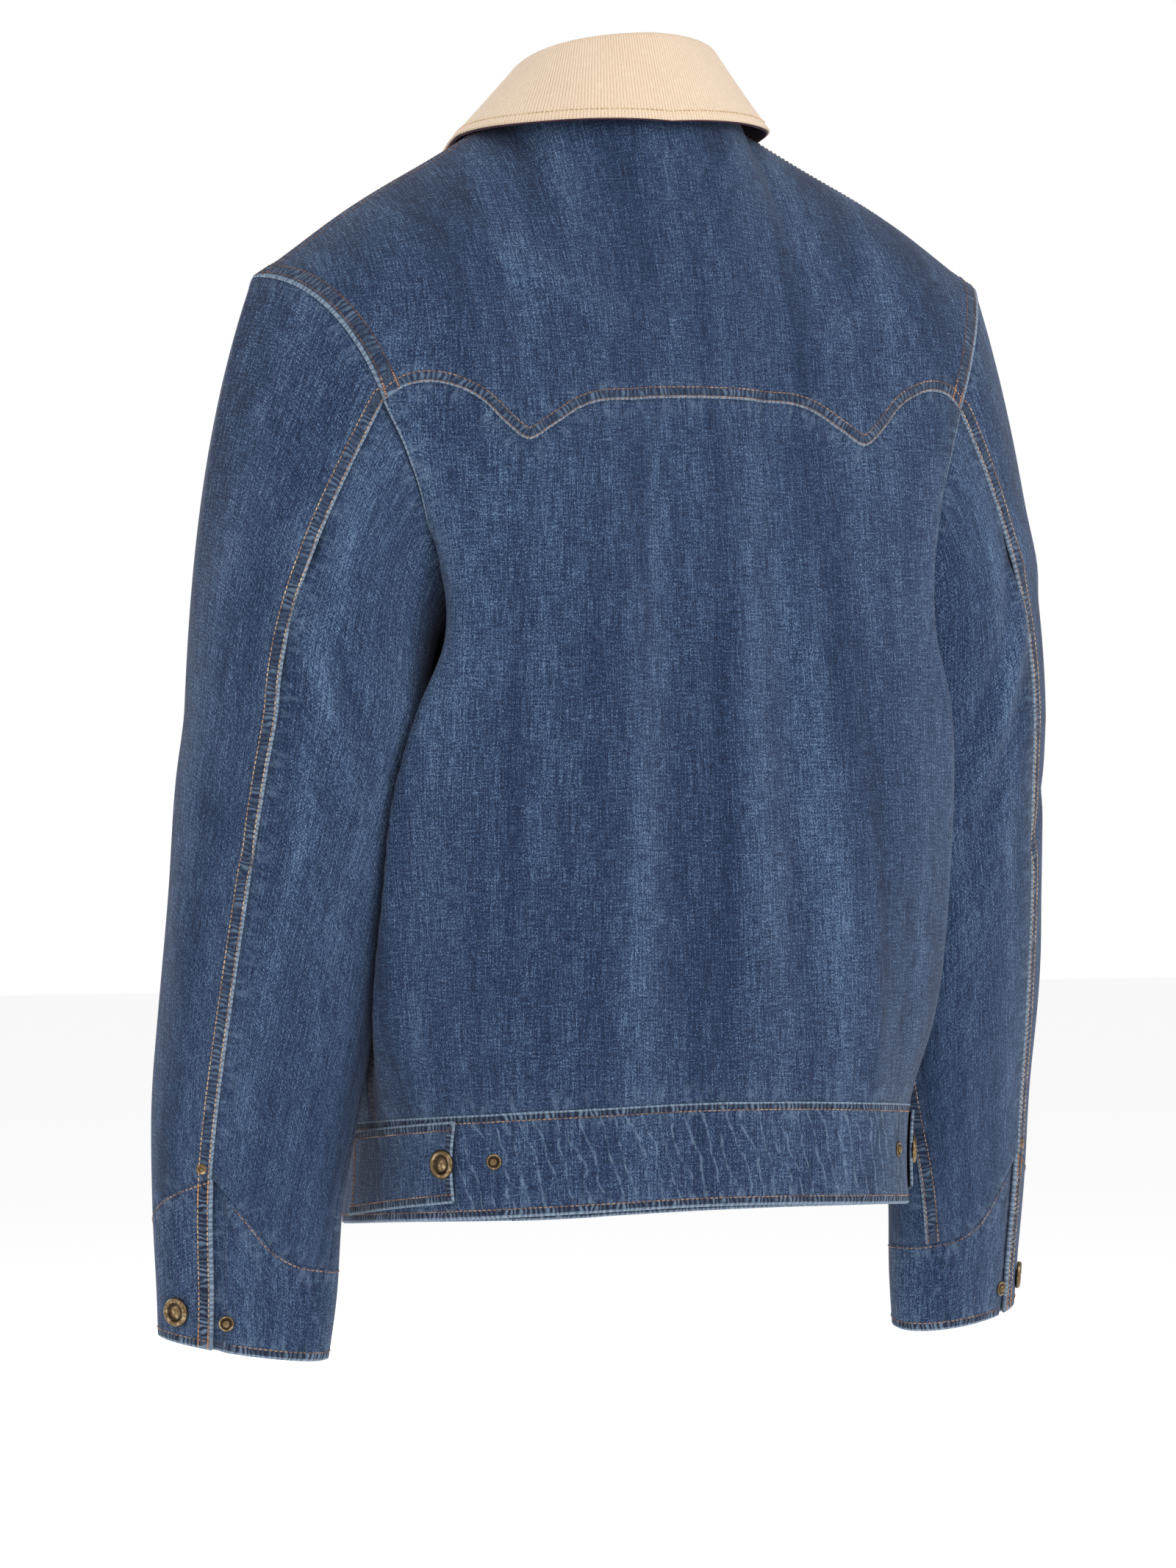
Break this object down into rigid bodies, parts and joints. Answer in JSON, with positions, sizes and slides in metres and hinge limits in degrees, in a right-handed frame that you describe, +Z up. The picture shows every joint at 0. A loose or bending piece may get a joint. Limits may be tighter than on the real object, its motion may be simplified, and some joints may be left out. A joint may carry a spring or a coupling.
{
  "type": "denim jacket",
  "caption": "Worn hollow denim jacket with a turned-down needlecord collar, pointed yoke, waistband with adjuster tabs and snapped cuffs.",
  "frame": {"origin": "middle of the back of the neck seam, where the garment is held by the shoulders and neck", "axes": "+Z up along the wearer's back, +X to the wearer's left across the shoulders, +Y out of the back"},
  "size_m": [0.5788, 0.2795, 0.7831],
  "materials": {
    "denim": "mid-blue washed denim, right-hand twill, matte",
    "needlecord": "sand-coloured fine needlecord, matte",
    "under_collar": "dark maroon cloth, matte",
    "antique_brass": "antiqued, satin"
  },
  "bodies": {
    "root": {"back_panel": "denim", "back_yoke": "denim", "front_left": "denim", "front_right": "denim", "waistband": "denim", "tab_left": "denim", "tab_right": "denim", "sleeve_left_upper": "denim", "sleeve_left_under": "denim", "sleeve_right_upper": "denim", "sleeve_right_under": "denim", "cuff_left": "denim", "cuff_right": "denim", "collar_top": "needlecord", "collar_under": "under_collar", "snap_front_1": "antique_brass", "snap_front_2": "antique_brass", "snap_front_3": "antique_brass", "snap_front_4": "antique_brass", "snap_front_5": "antique_brass", "snap_band": "antique_brass", "snap_tab_left": "antique_brass", "snap_tab_right": "antique_brass", "snap_cuff_left": "antique_brass", "snap_cuff_right": "antique_brass", "stud_band_left": "antique_brass", "stud_band_right": "antique_brass", "stud_cuff_left": "antique_brass", "stud_cuff_right": "antique_brass", "rivet_left": "antique_brass", "rivet_right": "antique_brass"}
  },
  "joints": []
}
